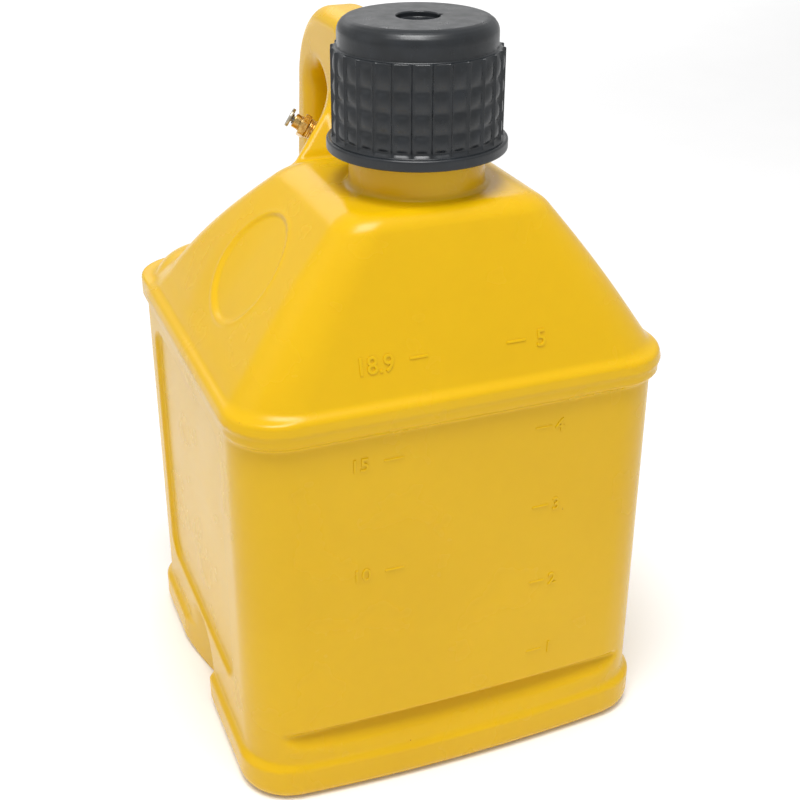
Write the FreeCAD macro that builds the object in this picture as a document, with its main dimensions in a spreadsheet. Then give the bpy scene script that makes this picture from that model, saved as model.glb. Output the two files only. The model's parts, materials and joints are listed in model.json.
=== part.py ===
import FreeCAD, Part
import math
import os

from FreeCAD import Placement, Rotation, Vector

# Five gallon utility jug, millimetres.
# Origin on the floor under the middle of the body, +X right, front towards -Y, +Z up.

DIMENSIONS = {
    # blown body, half sizes across X and Y, heights above the floor
    "wall": 3.0,
    "base_half_x": 140.5,
    "base_half_y": 136.0,
    "base_band_top": 24.5,
    "base_edge": 9.0,
    "base_edge_foot": 0.3,
    "base_corner_tuck": 0.6,
    "step_half": 1.5,
    "rim_bow": 0.3,
    "side_half_x": 135.5,
    "side_half_y": 133.0,
    "front_bow": 5.2,
    "corner_radius": 33.0,
    "rim_half_x": 137.5,
    "rim_half_y": 138.0,
    "rim_bottom": 253.5,
    "rim_top": 270.0,
    "rim_round": 3.0,
    "rim_tuck": 3.5,
    "terrace_height": 288.5,
    "terrace_inset": 42.0,
    "terrace_low_rise": 0.58,
    "terrace_low_reach": 0.45,
    "terrace_high_rise": 0.90,
    "terrace_high_reach": 0.76,
    "plateau_height": 370.0,
    "plateau_half_x": 60.5,
    "plateau_front": 106.0,
    "plateau_back": 15.0,
    "plateau_radius": 20.0,
    "plateau_round_drop": 4.0,
    "plateau_round_reach": 2.5,
    "roof_back": 101.0,
    "roof_overlap": 2.0,
    "roof_front_tuck": 4.5,
    "roof_side_share": 0.6,
    "roof_front_share": 0.8,
    "roof_back_share": 0.4,
    # handle loop, drawn in the Y-Z plane
    "handle_half_x": 17.0,
    "handle_edge": 6.0,
    "handle_front": 24.0,
    "handle_top": 449.3,
    "handle_back_top": 126.3,
    "handle_back_low": 133.5,
    "handle_back_knee": 330.0,
    "handle_bend": 67.0,
    "handle_turn": 20.0,
    "handle_foot": 275.0,
    "grip_front": 63.5,
    "grip_back": 100.0,
    "grip_top": 408.4,
    "grip_foot": 255.0,
    # gusset under the front of the handle, which carries the vent
    "gusset_reach": 233.0,
    "gusset_top": 397.0,
    "gusset_foot": 300.0,
    "gusset_foot_front": 20.0,
    "gusset_foot_back": 60.0,
    "gusset_knee": 364.6,
    "gusset_back": 63.0,
    "gusset_top_front": 56.0,
    "gusset_front": 26.0,
    "gusset_front_share": 1.5,
    "gusset_front_slope": 1.12,
    "vent_y": 51.1,
    "vent_z": 375.4,
    "boss_radius": 11.0,
    "boss_depth": 14.0,
    "boss_cover": 1.0,
    "hole_depth": 22.0,
    "hole_over": 12.0,
    "vent_fit": 0.05,
    # neck and its thread
    "neck_y": 54.0,
    "neck_radius": 39.7,
    "neck_wall": 3.6,
    "neck_top": 457.0,
    "neck_root": 12.0,
    "mouth_root": 20.0,
    "mouth_over": 5.0,
    "thread_pitch": 8.0,
    "thread_turns": 2.5,
    "thread_depth": 2.5,
    "thread_sink": 0.7,
    "thread_root_half": 2.1,
    "thread_crest_half": 1.2,
    "neck_thread_start": 428.0,
    # side panel, lower side scoop and front groove
    "panel_front": 81.0,
    "panel_back": 88.5,
    "panel_bottom": 58.0,
    "panel_top": 240.0,
    "panel_radius": 16.0,
    "panel_depth": 3.0,
    "clearance": 40.0,
    "scoop_front": 24.0,
    "scoop_back": 50.0,
    "scoop_top": 52.0,
    "scoop_depth": 14.0,
    "scoop_crest_shift": 4.0,
    "scoop_spring": 0.62,
    "scoop_round": 9.0,
    "scoop_haunch": 0.90,
    "scoop_foot": 1.0,
    "scoop_inset": 0.4,
    "groove_top": 53.0,
    "groove_bottom": 27.0,
    "groove_depth": 9.5,
    "groove_run": 20.0,
    "groove_lip": 4.0,
    "groove_bevel": 2.0,
    "groove_bevel_foot": 6.0,
    "groove_foot": 1.0,
    # screw cap and gasket
    "cap_bottom": 391.5,
    "cap_flange_top": 398.0,
    "cap_flange_radius": 52.5,
    "cap_grip_radius": 49.4,
    "cap_grip_top": 449.0,
    "cap_crown_radius": 45.6,
    "cap_crown_edge": 8.0,
    "cap_top": 465.5,
    "cap_bore_radius": 42.9,
    "cap_plate": 6.0,
    "cap_chamfer": 0.8,
    "cap_recess_radius": 12.3,
    "cap_recess_depth": 3.5,
    "flute_count": 28,
    "flute_radius": 9.0,
    "flute_depth": 1.1,
    "gasket_gap": 0.3,
    "gasket_thickness": 1.9,
    "gasket_inner_radius": 34.0,
    "gasket_outer_radius": 42.6,
    # push-button vent, measured along its own axis from the skin of the jug
    "vent_thread_radius": 6.6,
    "vent_inner_end": 13.0,
    "vent_shank_top": 4.0,
    "hex_height": 4.4,
    "hex_flats": 14.0,
    "barrel_radius": 4.6,
    "barrel_top": 13.6,
    "vent_bore_radius": 2.0,
    "vent_chamfer": 0.8,
    "barrel_chamfer": 0.5,
    "spring_room_radius": 3.7,
    "spring_room_depth": 6.0,
    "button_radius": 6.2,
    "button_top": 17.6,
    "button_lip": 2.2,
    "button_skin": 1.0,
    "button_bevel": 1.0,
    "button_bevel_drop": 0.6,
    "button_dome": 0.3,
    "stem_radius": 1.95,
    "seal_gap": 0.05,
    "seal_radius": 5.2,
    "seal_thickness": 2.0,
    "retainer_radius": 3.4,
    "retainer_thickness": 2.0,
    "spring_radius": 2.85,
    "spring_wire": 0.6,
    "spring_turns": 5,
    "spring_gap": 0.05,
}

# Outward direction of the skin that carries the vent: left, back and up.
VENT_AXIS = Vector(-0.770, 0.385, 0.508).normalize()

doc = FreeCAD.newDocument("utility_jug")
sheet = doc.addObject("Spreadsheet::Sheet", "dims")
for row, (alias, value) in enumerate(DIMENSIONS.items(), start=1):
    sheet.set(f"A{row}", alias)
    sheet.set(f"B{row}", str(value))
    sheet.setAlias(f"B{row}", alias)
doc.recompute()


def size(alias):
    """Value of one driving dimension, read back from the sheet."""
    return float(sheet.get(alias))


def add(kind, name, **properties):
    """Add one document object and set its plain properties."""
    item = doc.addObject(kind, name)
    for key, value in properties.items():
        setattr(item, key, value)
    return item


def bind(item, **expressions):
    """Tie properties of an object to cells of the sheet."""
    for key, expression in expressions.items():
        item.setExpression(key, expression)
    return item


def fuse(name, parts):
    return add("Part::MultiFuse", name, Shapes=parts)


def cut(name, base, tool):
    return add("Part::Cut", name, Base=base, Tool=tool)


# ---------------------------------------------------------------- sections

def rounded_outline(half_x, front, back, radius, bow):
    """Four corner arcs joined by three straight sides and a bowed front."""
    lean = radius * (1 - math.sqrt(0.5))
    corners = (
        (-half_x, front, 1, 1),
        (half_x, front, -1, 1),
        (half_x, back, -1, -1),
        (-half_x, back, 1, -1),
    )
    ends = []
    geometry = []
    for index, (x, y, to_x, to_y) in enumerate(corners):
        along_x = Vector(x + to_x * radius, y, 0)
        along_y = Vector(x, y + to_y * radius, 0)
        middle = Vector(x + to_x * lean, y + to_y * lean, 0)
        first, last = (along_y, along_x) if index % 2 == 0 else (along_x, along_y)
        geometry.append(Part.Arc(first, middle, last))
        ends.append((first, last))
    crest = Vector(0, front - bow, 0)
    geometry.insert(1, Part.Arc(ends[0][1], crest, ends[1][0]))
    for index, place in ((1, 3), (2, 5), (3, 7)):
        start = ends[index][1]
        finish = ends[(index + 1) % 4][0]
        geometry.insert(place, Part.LineSegment(start, finish))
    return geometry


def section(name, height, half_x, front, back, radius, bow):
    """Horizontal outline of the body, as a sketch at its own height."""
    sketch = add("Sketcher::SketchObject", name)
    sketch.addGeometry(rounded_outline(half_x, front, back, radius, bow), False)
    sketch.Placement = Placement(Vector(0, 0, height), Rotation())
    return sketch


def loft(name, sections):
    """Ruled solid through a list of (height, half x, front, back, radius, bow)."""
    sketches = [section(f"{name}_{index}", *values) for index, values in enumerate(sections)]
    return add("Part::Loft", name, Sections=sketches, Solid=True, Ruled=True)


def polyline(points):
    """Closed run of straight edges through (across, along) points."""
    pairs = zip(points, points[1:] + points[:1])
    return [Part.LineSegment(Vector(*start, 0), Vector(*finish, 0)) for start, finish in pairs]


def plane_sketch(name, points, placement):
    """Closed straight-sided outline placed anywhere."""
    sketch = add("Sketcher::SketchObject", name)
    sketch.addGeometry(polyline(points), False)
    sketch.Placement = placement
    return sketch


# Sketch X and Y lie along the jug's Y and Z; the sketch normal is +X.
SIDE_VIEW = Rotation(Vector(1, 1, 1), 120)


# ------------------------------------------------------------- blown forms

def tub(name, inset):
    """Base band, upright sides, rim and the rounded terrace above it."""
    radius = size("corner_radius") - inset
    base_x, base_y = size("base_half_x") - inset, size("base_half_y") - inset
    side_x, side_y = size("side_half_x") - inset, size("side_half_y") - inset
    rim_x, rim_y = size("rim_half_x") - inset, size("rim_half_y") - inset
    band = size("base_band_top") - inset
    bow = size("front_bow")
    edge = size("base_edge")
    low_rim, high_rim = size("rim_bottom") + inset, size("rim_top") - inset
    terrace = size("terrace_height") - inset
    reach = size("terrace_inset")
    rise = terrace - high_rim
    foot = size("base_edge_foot") * edge
    half_step = size("step_half")
    tuck, rim_bow = size("rim_tuck"), size("rim_bow")
    low_rise, low_reach = size("terrace_low_rise") * rise, size("terrace_low_reach") * reach
    high_rise, high_reach = size("terrace_high_rise") * rise, size("terrace_high_reach") * reach
    levels = [
        (inset, base_x - edge, base_y - edge, radius - size("base_corner_tuck") * edge, bow),
        (inset + foot, base_x - foot, base_y - foot, radius, bow),
        (inset + edge, base_x, base_y, radius, bow),
        (band - half_step, base_x, base_y, radius, bow),
        (band + half_step, side_x, side_y, radius, bow),
        (low_rim - half_step, side_x - half_step, side_y, radius, rim_bow),
        (low_rim + half_step, rim_x, rim_y, radius, rim_bow),
        (high_rim - size("rim_round"), rim_x, rim_y, radius, rim_bow),
        (high_rim, rim_x - tuck, rim_y - tuck, radius, rim_bow),
        (high_rim + low_rise, rim_x - low_reach, rim_y - low_reach, radius, rim_bow),
        (high_rim + high_rise, rim_x - high_reach, rim_y - high_reach, radius, rim_bow),
        (terrace, rim_x - reach, rim_y - reach, radius, rim_bow),
    ]
    return loft(name, [(z, x, -y, y, r, curve) for z, x, y, r, curve in levels])


def roof(name, inset):
    """Hipped shoulder that rises from the rim to the flat plateau."""
    start = size("rim_top") - size("roof_overlap") - inset
    top = size("plateau_height") - inset
    height = size("plateau_height") - size("rim_top")
    half_x = size("plateau_half_x") - size("roof_side_share") * inset
    front = -size("plateau_front") + size("roof_front_share") * inset
    back = size("plateau_back") - size("roof_back_share") * inset
    run_x = (size("rim_half_x") - size("rim_tuck") - size("plateau_half_x")) / height
    run_front = (size("rim_half_y") - size("roof_front_tuck") - size("plateau_front")) / height
    run_back = (size("roof_back") - size("plateau_back")) / height
    shoulder = size("plateau_radius")
    spread = (size("corner_radius") - shoulder) / (top - start)
    brink = top - size("plateau_round_drop")
    levels = []
    for z, shrink in ((start, 0.0), (brink, 0.0), (top, size("plateau_round_reach"))):
        drop = top - z
        levels.append((
            z,
            half_x + run_x * drop - shrink,
            front - run_front * drop + shrink,
            back + run_back * drop - shrink,
            shoulder + spread * drop,
            size("rim_bow"),
        ))
    return loft(name, levels)


def gusset(name, inset):
    """Wedge each side of the handle's front leg, with flanks square to the vent."""
    reach = size("gusset_reach") - inset
    front_face = size("gusset_front") + size("gusset_front_share") * inset
    foot_front, back = size("gusset_foot_front"), size("gusset_back")
    levels = []
    for z, y_front, y_back in (
        (size("gusset_foot"), foot_front, size("gusset_foot_back")),
        (size("gusset_knee"), foot_front, back),
        (size("gusset_top"), size("gusset_top_front"), back),
    ):
        slope_front = front_face + size("gusset_front_slope") * (z - size("plateau_height"))
        y_front = max(y_front, slope_front)
        outline = []
        for y in (y_front + inset / 2, y_back - inset):
            flank = (reach - VENT_AXIS.y * y - VENT_AXIS.z * z) / -VENT_AXIS.x
            outline.append((flank, y))
        (wide, near), (narrow, far) = outline
        points = [(-wide, near), (wide, near), (narrow, far), (-narrow, far)]
        level = plane_sketch(f"{name}_{len(levels)}", points, Placement(Vector(0, 0, z), Rotation()))
        levels.append(level)
    return add("Part::Loft", name, Sections=levels, Solid=True, Ruled=True)


def handle_outline(inset):
    """Side view of the solid loop: upright front, rounded top, sloping back."""
    front = size("handle_front") + inset
    top = size("handle_top") - inset
    back = size("handle_back_top") - inset
    low_back = size("handle_back_low") - inset
    bend_y = size("handle_bend")
    sweep = back - bend_y
    centre_z = top - sweep
    turn = size("handle_turn")
    diagonal = math.sqrt(0.5)
    base = size("handle_foot") + inset
    corner = [
        Vector(front, top - turn, 0),
        Vector(front + turn * (1 - diagonal), top - turn * (1 - diagonal), 0),
        Vector(front + turn, top, 0),
    ]
    bend = [
        Vector(bend_y, top, 0),
        Vector(bend_y + sweep * diagonal, centre_z + sweep * diagonal, 0),
        Vector(back, centre_z, 0),
    ]
    low = Vector(low_back, size("handle_back_knee"), 0)
    foot = Vector(low_back, base, 0)
    heel = Vector(front, base, 0)
    return [
        Part.LineSegment(heel, corner[0]),
        Part.Arc(*corner),
        Part.LineSegment(corner[2], bend[0]),
        Part.Arc(*bend),
        Part.LineSegment(bend[2], low),
        Part.LineSegment(low, foot),
        Part.LineSegment(foot, heel),
    ]


def grip_outline(grow):
    """Side view of the finger opening, round at the top."""
    front = size("grip_front") - grow
    back = size("grip_back") + grow
    radius = (back - front) / 2
    top = size("grip_top") + grow
    crown = Vector(front + radius, top, 0)
    left, right = Vector(front, top - radius, 0), Vector(back, top - radius, 0)
    base = size("grip_foot")
    return [
        Part.LineSegment(Vector(front, base, 0), left),
        Part.Arc(left, crown, right),
        Part.LineSegment(right, Vector(back, base, 0)),
        Part.LineSegment(Vector(back, base, 0), Vector(front, base, 0)),
    ]


def side_slices(name, outline, half_x, edge, sign):
    """Loft across X with bevelled edges; sign +1 narrows and -1 widens outwards."""
    slices = []
    reach = half_x if sign > 0 else half_x + edge
    rim = edge if sign > 0 else 2 * edge
    stations = ((-reach, rim), (edge - half_x, 0.0), (half_x - edge, 0.0), (reach, rim))
    for index, (x, amount) in enumerate(stations):
        sketch = add("Sketcher::SketchObject", f"{name}_{index}")
        sketch.addGeometry(outline(amount), False)
        sketch.Placement = Placement(Vector(x, 0, 0), SIDE_VIEW)
        slices.append(sketch)
    return add("Part::Loft", name, Sections=slices, Solid=True, Ruled=True)


def handle(name, inset):
    """Carrying loop with its finger opening."""
    half_x = size("handle_half_x") - inset
    edge = size("handle_edge")
    loop = side_slices(f"{name}_loop", lambda more: handle_outline(inset + more), half_x, edge, 1)
    grip = side_slices(f"{name}_grip", lambda more: grip_outline(inset + more), half_x, edge, -1)
    return cut(name, loop, grip)


def side_panel(name, side, grow):
    """Tool for the shallow rounded panel sunk in one side."""
    radius = size("panel_radius")
    front, back = -size("panel_front") - grow, size("panel_back") + grow
    bottom, top = size("panel_bottom") - grow, size("panel_top") + grow
    block = add("Part::Box", f"{name}_block")
    reach = size("clearance")
    block.Length, block.Width, block.Height = reach, back - front, top - bottom
    floor = size("side_half_x") - size("panel_depth") - grow
    block.Placement.Base = Vector(floor if side > 0 else -floor - reach, front, bottom)
    doc.recompute()
    along_x = [
        index for index, edge in enumerate(block.Shape.Edges, start=1)
        if round(abs(edge.tangentAt(edge.FirstParameter).x)) == 1
    ]
    return add("Part::Fillet", name, Base=block, Edges=[(index, radius, radius) for index in along_x])


def side_scoop(name, side, grow):
    """Tool for the arched hand scoop low on one side, deepest at its front."""
    front, back = -size("scoop_front") - grow, size("scoop_back") + grow
    top = size("scoop_top") + grow
    middle = (front + back) / 2 - size("scoop_crest_shift")
    foot = -size("scoop_foot")
    sketch = add("Sketcher::SketchObject", f"{name}_arch")
    left, right = Vector(front, foot, 0), Vector(back, foot, 0)
    spring = Vector(front, size("scoop_spring") * top, 0)
    haunch = Vector(front + size("scoop_round"), size("scoop_haunch") * top, 0)
    crest = Vector(middle, top, 0)
    sketch.addGeometry([
        Part.LineSegment(left, spring),
        Part.Arc(spring, haunch, crest),
        Part.LineSegment(crest, right),
        Part.LineSegment(right, left),
    ], False)
    depth = size("scoop_depth")
    turn = -side * math.degrees(math.atan2(depth, back - front))
    outer = size("base_half_x") - grow - size("scoop_inset")
    pivot = Vector(side * outer, back, 0)
    spin = Rotation(Vector(0, 0, 1), turn)
    offset = spin.multVec(Vector(0, -back, 0))
    sketch.Placement = Placement(pivot + offset, spin * SIDE_VIEW)
    reach = size("clearance")
    return add(
        "Part::Extrusion", name, Base=sketch, DirMode="Normal", Solid=True,
        LengthFwd=reach if side > 0 else 0.0, LengthRev=0.0 if side > 0 else reach,
    )


def front_groove(name, grow):
    """Tool for the step across the front: undercut above, sloping out below."""
    face = -size("side_half_y") - size("front_bow")
    deep = face + size("groove_depth") + grow
    top, bottom = size("groove_top") + grow, size("groove_bottom") - grow
    run, bevel = size("groove_run"), size("groove_bevel")
    points = [
        (face - run, top + size("groove_lip")),
        (deep - bevel, top - bevel),
        (deep, top - size("groove_bevel_foot")),
        (face - size("groove_foot") + grow, bottom),
        (face - run, bottom),
    ]
    reach = size("base_half_x") + size("clearance")
    sketch = plane_sketch(f"{name}_outline", points, Placement(Vector(-reach, 0, 0), SIDE_VIEW))
    return add("Part::Extrusion", name, Base=sketch, DirMode="Normal", Solid=True, LengthFwd=2 * reach)


def blown_form(name, inset):
    """The whole jug without its neck, shrunk evenly by the given inset."""
    masses = [
        tub(f"{name}_tub", inset),
        roof(f"{name}_roof", inset),
        gusset(f"{name}_gusset", inset),
        handle(f"{name}_handle", inset),
    ]
    reliefs = [front_groove(f"{name}_groove", inset)]
    for word, side in (("left", -1), ("right", 1)):
        reliefs.append(side_panel(f"{name}_{word}_panel", side, inset))
        reliefs.append(side_scoop(f"{name}_{word}_scoop", side, inset))
    return cut(name, fuse(f"{name}_mass", masses), fuse(f"{name}_relief", reliefs))


# ------------------------------------------------------------ threads, bodies

FRONT_VIEW = Rotation(Vector(1, 0, 0), 90)


def helical_ridge(name, radius, start, turns, depth):
    """Screw ridge on the neck axis; a negative depth points it inwards."""
    pitch = size("thread_pitch")
    helix = add("Part::Helix", f"{name}_path", Pitch=pitch, Height=pitch * turns, Radius=radius)
    root = radius - math.copysign(size("thread_sink"), depth)
    crest = radius + depth
    wide, narrow = size("thread_root_half"), size("thread_crest_half")
    points = [(root, -wide), (crest, -narrow), (crest, narrow), (root, wide)]
    profile = plane_sketch(f"{name}_profile", points, Placement(Vector(), FRONT_VIEW))
    doc.recompute()
    edges = [f"Edge{index}" for index in range(1, len(helix.Shape.Edges) + 1)]
    ridge = add("Part::Sweep", name, Sections=[profile], Spine=(helix, edges), Solid=True, Frenet=True)
    ridge.Placement.Base = Vector(0, -size("neck_y"), start)
    return ridge


def round_tool(name, radius, bottom, top, centre_y=0.0):
    """Upright cylinder bound to two cells of the sheet."""
    tool = bind(add("Part::Cylinder", name), Radius=radius, Height=f"{top} - ({bottom})")
    bind(tool, **{".Placement.Base.z": bottom})
    tool.Placement.Base.y = centre_y
    return tool


def new_body(name, placement):
    """Empty design body, and its origin planes and axes by role."""
    body = add("PartDesign::Body", name)
    body.Placement = placement
    return body, {feature.Role: feature for feature in body.Origin.OriginFeatures}


def body_sketch(body, name, plane, geometry, offset=0.0):
    sketch = body.newObject("Sketcher::SketchObject", name)
    sketch.AttachmentSupport = [(plane, "")]
    sketch.MapMode = "FlatFace"
    sketch.AttachmentOffset = Placement(Vector(0, 0, offset), Rotation())
    sketch.addGeometry(geometry, False)
    return sketch


def revolve(body, planes, name, geometry):
    """Full turn of a half section about the body's Z axis."""
    sketch = body_sketch(body, f"{name}_section", planes["XZ_Plane"], geometry)
    feature = body.newObject("PartDesign::Revolution", name)
    feature.Profile = sketch
    feature.ReferenceAxis = (planes["Z_Axis"], [""])
    feature.Angle = 360.0
    body.Tip = feature
    return feature


def pocket(body, planes, name, radius, level, length, centre_x=0.0, through=False):
    """Round pocket cut down from a level of the body's own Z axis."""
    circle = Part.Circle(Vector(centre_x, 0, 0), Vector(0, 0, 1), radius)
    sketch = body_sketch(body, f"{name}_circle", planes["XY_Plane"], [circle], level)
    doc.recompute()
    before = body.Shape.Volume
    feature = body.newObject("PartDesign::Pocket", name)
    feature.Profile = sketch
    if through:
        feature.Type = "ThroughAll"
    else:
        feature.Length = length
    body.Tip = feature
    doc.recompute()
    assert body.Shape.Volume < before, f"{name} cut nothing"
    return feature


# ---------------------------------------------------------------- sub-parts

def vent_placement():
    """Seat of the vent on the gusset's left flank, turned to point outwards."""
    y, z = size("vent_y"), size("vent_z")
    reach = size("gusset_reach") - VENT_AXIS.y * y - VENT_AXIS.z * z
    return Placement(Vector(reach / VENT_AXIS.x, y, z), Rotation(Vector(0, 0, 1), VENT_AXIS))


def vent_drill(name, radius, height, depth):
    """Cylinder along the vent's axis, starting at a depth below the skin."""
    tool = bind(add("Part::Cylinder", name), Radius=radius, Height=height)
    tool.Placement = vent_placement().multiply(Placement(Vector(0, 0, -size(depth)), Rotation()))
    return tool


def make_can_body():
    """Hollow blown jug with threaded neck, carrying loop and tapped vent boss."""
    neck_y = -size("neck_y")
    outer = blown_form("outer_form", 0.0)
    inner = blown_form("inner_form", size("wall"))
    neck = round_tool(
        "neck_tube", "dims.neck_radius", "dims.plateau_height - dims.neck_root", "dims.neck_top", neck_y,
    )
    mouth = round_tool(
        "neck_bore", "dims.neck_radius - dims.neck_wall",
        "dims.plateau_height - dims.mouth_root", "dims.neck_top + dims.mouth_over", neck_y,
    )
    ridge = helical_ridge(
        "neck_thread", size("neck_radius"), size("neck_thread_start"),
        size("thread_turns"), size("thread_depth"),
    )
    boss = vent_drill("vent_boss", "dims.boss_radius", "dims.boss_depth - dims.boss_cover", "boss_depth")
    hollow = cut("jug_hollow_round_boss", fuse("jug_hollow", [inner, mouth]), boss)
    shell = cut("jug_shell", fuse("jug_skin", [outer, neck, ridge]), hollow)
    hole = vent_drill(
        "vent_hole", "dims.vent_thread_radius + dims.vent_fit",
        "dims.hole_depth + dims.hole_over", "hole_depth",
    )
    return cut("can_body", shell, hole)


def make_screw_cap():
    """Fluted cap with a rolled crown, a blind centre recess and a thread inside."""
    body, planes = new_body("cap_moulding", Placement(Vector(0, -size("neck_y"), 0), Rotation()))
    bore, crown, grip = size("cap_bore_radius"), size("cap_crown_radius"), size("cap_grip_radius")
    flange, foot, step = size("cap_flange_radius"), size("cap_bottom"), size("cap_flange_top")
    ledge, top, edge = size("cap_grip_top"), size("cap_top"), size("cap_crown_edge")
    recess, floor = size("cap_recess_radius"), size("cap_top") - size("cap_recess_depth")
    ceiling = top - size("cap_plate")
    lean = edge * (1 - math.sqrt(0.5))
    chamfer = size("cap_chamfer")
    outline = polyline([
        (bore, foot), (flange - chamfer, foot), (flange, foot + chamfer), (flange, step - chamfer),
        (flange - chamfer, step), (grip, step), (grip, ledge - chamfer), (grip - chamfer, ledge),
        (crown, ledge), (crown, top - edge), (crown - edge, top), (recess, top),
        (recess, floor), (0.0, floor), (0.0, ceiling), (bore, ceiling),
    ])
    outline[9] = Part.Arc(
        Vector(crown, top - edge, 0), Vector(crown - lean, top - lean, 0), Vector(crown - edge, top, 0),
    )
    revolve(body, planes, "cap_shape", outline)
    length = ledge - step - chamfer
    centre = grip - size("flute_depth") + size("flute_radius")
    flute = pocket(body, planes, "flute", size("flute_radius"), ledge, length, centre)
    pattern = body.newObject("PartDesign::PolarPattern", "flutes")
    pattern.Originals = [flute]
    pattern.Axis = (planes["Z_Axis"], [""])
    pattern.Angle = 360.0
    pattern.Occurrences = int(size("flute_count"))
    body.Tip = pattern
    start = size("neck_thread_start") - size("thread_pitch") / 2
    ridge = helical_ridge("cap_thread", bore, start, size("thread_turns"), -size("thread_depth"))
    return fuse("screw_cap", [body, ridge])


def make_cap_gasket():
    """Flat ring between the neck's lip and the cap's ceiling."""
    neck_y = -size("neck_y")
    ring = round_tool(
        "gasket_disc", "dims.gasket_outer_radius",
        "dims.neck_top + dims.gasket_gap",
        "dims.neck_top + dims.gasket_gap + dims.gasket_thickness", neck_y,
    )
    hole = round_tool(
        "gasket_hole", "dims.gasket_inner_radius",
        "dims.neck_top - dims.mouth_over", "dims.neck_top + dims.mouth_over", neck_y,
    )
    return cut("cap_gasket", ring, hole)


def hexagon(flats):
    """Six-sided outline with the given distance across flats."""
    reach = flats / math.sqrt(3)
    angles = [math.tau * corner / 6 for corner in range(6)]
    return polyline([(reach * math.cos(angle), reach * math.sin(angle)) for angle in angles])


def make_vent_body():
    """Brass vent barrel: threaded shank, hexagon, barrel, bore and spring room."""
    body, planes = new_body("vent_body", vent_placement())
    shank, low, high = size("vent_thread_radius"), size("vent_inner_end"), size("vent_shank_top")
    barrel, top = size("barrel_radius"), size("barrel_top")
    chamfer, lip = size("vent_chamfer"), size("barrel_chamfer")
    hex_sketch = body_sketch(body, "hexagon", planes["XY_Plane"], hexagon(size("hex_flats")), high)
    nut = body.newObject("PartDesign::Pad", "hexagon_pad")
    nut.Profile = hex_sketch
    nut.setExpression("Length", "dims.hex_height")
    body.Tip = nut
    outline = polyline([
        (0.0, -low), (shank - chamfer, -low), (shank, chamfer - low), (shank, high + lip),
        (barrel, high + lip), (barrel, top - lip), (barrel - lip, top), (0.0, top),
    ])
    revolve(body, planes, "turned_shape", outline)
    pocket(body, planes, "stem_bore", size("vent_bore_radius"), top, 0.0, through=True)
    pocket(body, planes, "spring_room", size("spring_room_radius"), top, size("spring_room_depth"))
    return body


def make_vent_button():
    """Thumb button with a turned-down lip, in one piece with its stem."""
    body, planes = new_body("vent_button", vent_placement())
    rim, top, lip = size("button_radius"), size("button_top"), size("button_lip")
    skin, stem = size("button_skin"), size("stem_radius")
    bevel, drop = size("button_bevel"), size("button_bevel_drop")
    end = -size("vent_inner_end") - size("seal_gap") - size("seal_thickness") - size("retainer_thickness")
    outline = polyline([
        (0.0, end), (stem, end), (stem, top - skin), (rim - skin, top - skin), (rim - skin, top - lip),
        (rim, top - lip), (rim, top - drop), (rim - bevel, top), (0.0, top + size("button_dome")),
    ])
    revolve(body, planes, "button_shape", outline)
    return body


def make_ring(name, outer, top, thickness):
    """Turned ring on the button's stem."""
    body, planes = new_body(name, vent_placement())
    stem = size("stem_radius")
    outline = polyline([(stem, top - thickness), (outer, top - thickness), (outer, top), (stem, top)])
    revolve(body, planes, f"{name}_shape", outline)
    return body


def make_vent_spring():
    """Return spring between the floor of the spring room and the button."""
    wire, radius = size("spring_wire"), size("spring_radius")
    margin = wire / 2 + size("spring_gap")
    low = size("barrel_top") - size("spring_room_depth") + margin
    height = size("button_top") - size("button_skin") - margin - low
    pitch = height / size("spring_turns")
    helix = add("Part::Helix", "spring_path", Pitch=pitch, Height=height, Radius=radius)
    sketch = add("Sketcher::SketchObject", "spring_section")
    sketch.addGeometry([Part.Circle(Vector(radius, 0, 0), Vector(0, 0, 1), wire / 2)], False)
    sketch.Placement = Placement(Vector(), FRONT_VIEW)
    doc.recompute()
    edges = [f"Edge{index}" for index in range(1, len(helix.Shape.Edges) + 1)]
    coil = add(
        "Part::Sweep", "vent_spring", Sections=[sketch], Spine=(helix, edges), Solid=True, Frenet=True,
    )
    coil.Placement = vent_placement().multiply(Placement(Vector(0, 0, low), Rotation()))
    return coil


def make_parts():
    """Every sub-part, keyed by the name of its file."""
    seat = -size("vent_inner_end") - size("seal_gap")
    return {
        "can_body": make_can_body(),
        "screw_cap": make_screw_cap(),
        "cap_gasket": make_cap_gasket(),
        "vent_body": make_vent_body(),
        "vent_button": make_vent_button(),
        "vent_seal": make_ring("vent_seal", size("seal_radius"), seat, size("seal_thickness")),
        "vent_retainer": make_ring(
            "vent_retainer", size("retainer_radius"),
            seat - size("seal_thickness"), size("retainer_thickness"),
        ),
        "vent_spring": make_vent_spring(),
    }


def export(parts):
    """Recompute, check every object, and write one file for each sub-part."""
    for name, item in parts.items():
        item.Label = name
    doc.recompute()
    failed = [item.Name for item in doc.Objects if {"Invalid", "Error"} & set(item.State)]
    assert not failed, f"failed objects: {failed}"
    for name, item in parts.items():
        shape = item.Shape
        assert not shape.isNull() and shape.isValid(), f"bad shape: {name}"
        print(f"{name:14s} solids {len(shape.Solids)}  volume {shape.Volume / 1000:10.3f} cm3")
    os.makedirs("parts", exist_ok=True)
    for name, item in parts.items():
        item.Shape.exportStep(f"parts/{name}.step")


export(make_parts())
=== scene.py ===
import json
import math

import bmesh
import bpy
import numpy as np
from mathutils import Matrix, Vector

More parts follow.
